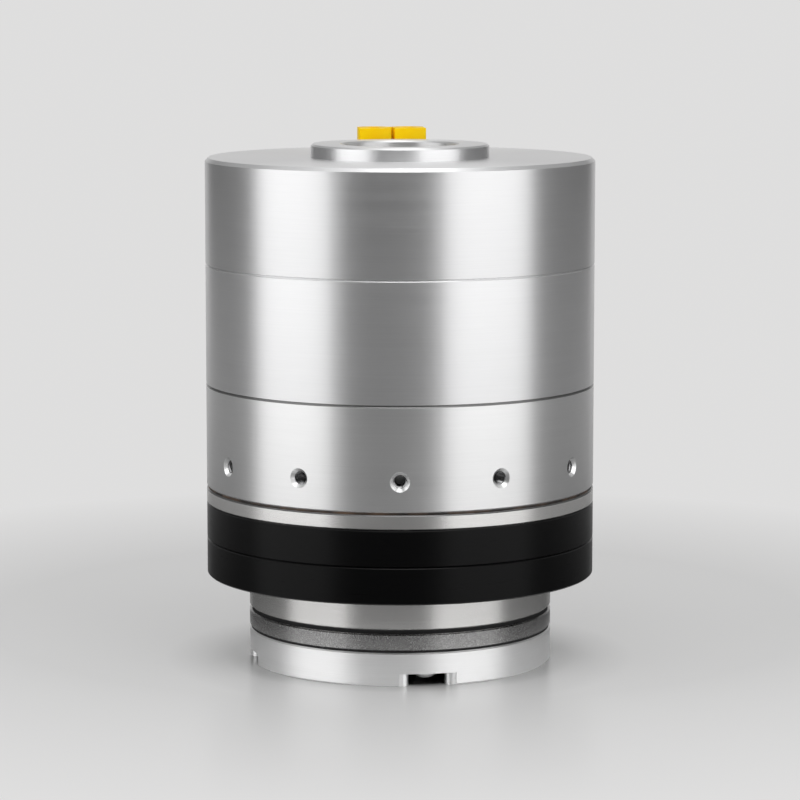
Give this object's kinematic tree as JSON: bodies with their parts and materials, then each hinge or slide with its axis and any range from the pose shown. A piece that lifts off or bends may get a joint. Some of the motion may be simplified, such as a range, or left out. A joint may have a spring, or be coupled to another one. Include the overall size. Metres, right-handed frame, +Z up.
{
  "type": "robot joint actuator",
  "caption": "Round hollow-shaft robot joint: stacked housings over a black bearing ring, a turning output flange below, and power connectors behind a raised hub on top.",
  "frame": {"origin": "centre of the output face, at the bottom of the part", "axes": "+Z up the rotation axis from the output face to the cable end; the pictured front, with one side hole, is towards -Y and +X is to its right"},
  "size_m": [0.09, 0.09, 0.1224],
  "materials": {
    "turned_aluminium": "fine turned, clear anodised",
    "plain_aluminium": "machined",
    "black_steel": "black oxide, satin",
    "bright_steel": "ground and turned",
    "blasted_steel": "bead blasted, grey",
    "shaft_steel": "turned",
    "ball_steel": "polished",
    "screw_steel": "zinc plated",
    "brake_iron": "phosphated",
    "spring_steel": "drawn wire",
    "lamination": "stacked sheet",
    "copper_wire": "enamelled copper",
    "magnet": "nickel plated",
    "friction_lining": "friction lining",
    "black_rubber": "matt",
    "brown_gasket": "fibre gasket",
    "lead_sleeve": "silicone",
    "circuit_board": "solder resist",
    "disc_glass": "coated code disc",
    "capacitor_can": "sleeved can",
    "yellow_plastic": "moulded nylon",
    "gold_contact": "gold plated",
    "bush_plastic": "turned acetal"
  },
  "bodies": {
    "housing": {"hub_cap": "turned_aluminium", "rear_cover": "turned_aluminium", "motor_housing": "turned_aluminium", "gear_side_housing": "turned_aluminium", "gear_gasket": "brown_gasket", "flexspline": "bright_steel", "bearing_outer_ring_upper": "black_steel", "bearing_outer_ring_lower": "black_steel", "outer_ring_screws": "screw_steel", "housing_screws": "screw_steel", "shaft_seal": "black_rubber", "brake_magnet_body": "brake_iron", "brake_coil": "copper_wire", "brake_springs": "spring_steel", "brake_sleeves": "shaft_steel", "brake_pressure_plate": "brake_iron", "brake_screws": "screw_steel", "stator_core": "lamination", "stator_coils": "copper_wire", "phase_leads": "lead_sleeve", "rear_bearing_plate": "plain_aluminium", "rear_plate_screws": "screw_steel", "rear_bearing_outer_ring": "bright_steel", "board_standoffs": "shaft_steel", "encoder_board": "circuit_board", "driver_board": "circuit_board", "capacitors": "capacitor_can", "power_connectors": "yellow_plastic", "connector_pins": "gold_contact", "tube_bush": "bush_plastic", "hub_screws": "screw_steel"},
    "output": {"output_flange": "turned_aluminium", "flange_gasket": "black_rubber", "circular_spline": "blasted_steel", "spline_seal": "black_rubber", "bearing_inner_ring": "bright_steel", "notch_screws": "screw_steel", "spline_screws": "screw_steel", "output_tube": "plain_aluminium", "output_tube_screws": "screw_steel", "output_encoder_disc": "disc_glass", "front_bearing_outer_ring": "bright_steel"},
    "rotor": {"motor_shaft": "shaft_steel", "wave_generator_plug": "shaft_steel", "flex_bearing_inner_race": "bright_steel", "flex_bearing_balls": "ball_steel", "flex_bearing_outer_race": "bright_steel", "front_bearing_inner_ring": "bright_steel", "rear_bearing_inner_ring": "bright_steel", "brake_hub": "shaft_steel", "brake_disc": "friction_lining", "rotor_hub": "plain_aluminium", "rotor_magnets": "magnet", "shaft_clip": "bright_steel", "motor_encoder_disc": "disc_glass"},
    "roller_set": {"cross_rollers": "ball_steel"},
    "front_ball_set": {"front_bearing_balls": "ball_steel"},
    "rear_ball_set": {"rear_bearing_balls": "ball_steel"},
    "brake_armature": {"brake_armature": "brake_iron"}
  },
  "joints": [
    {"name": "output_spin", "type": "hinge", "parent": "housing", "child": "output", "pos_m": [0, 0, 0], "axis": [0, 0, 1], "continuous": true},
    {"name": "rotor_spin", "type": "hinge", "parent": "housing", "child": "rotor", "pos_m": [0, 0, 0], "axis": [0, 0, 1], "continuous": true, "deforming": ["flexspline"]},
    {"name": "roller_orbit", "type": "hinge", "parent": "housing", "child": "roller_set", "pos_m": [0, 0, 0], "axis": [0, 0, 1], "continuous": true},
    {"name": "front_ball_orbit", "type": "hinge", "parent": "housing", "child": "front_ball_set", "pos_m": [0, 0, 0], "axis": [0, 0, 1], "continuous": true},
    {"name": "rear_ball_orbit", "type": "hinge", "parent": "housing", "child": "rear_ball_set", "pos_m": [0, 0, 0], "axis": [0, 0, 1], "continuous": true},
    {"name": "brake_release", "type": "slide", "parent": "housing", "child": "brake_armature", "axis": [0, 0, -1], "range_m": [0, 0.00025], "stiffness_N_per_m": 4000, "springref_m": -0.002, "deforming": ["brake_springs"]}
  ],
  "couplings": [
    {"joint": "rotor_spin", "follows": "output_spin", "ratio": 51},
    {"joint": "roller_orbit", "follows": "output_spin", "ratio": 0.48242},
    {"joint": "front_ball_orbit", "follows": "output_spin", "ratio": 23.177},
    {"joint": "rear_ball_orbit", "follows": "output_spin", "ratio": 22.621}
  ]
}
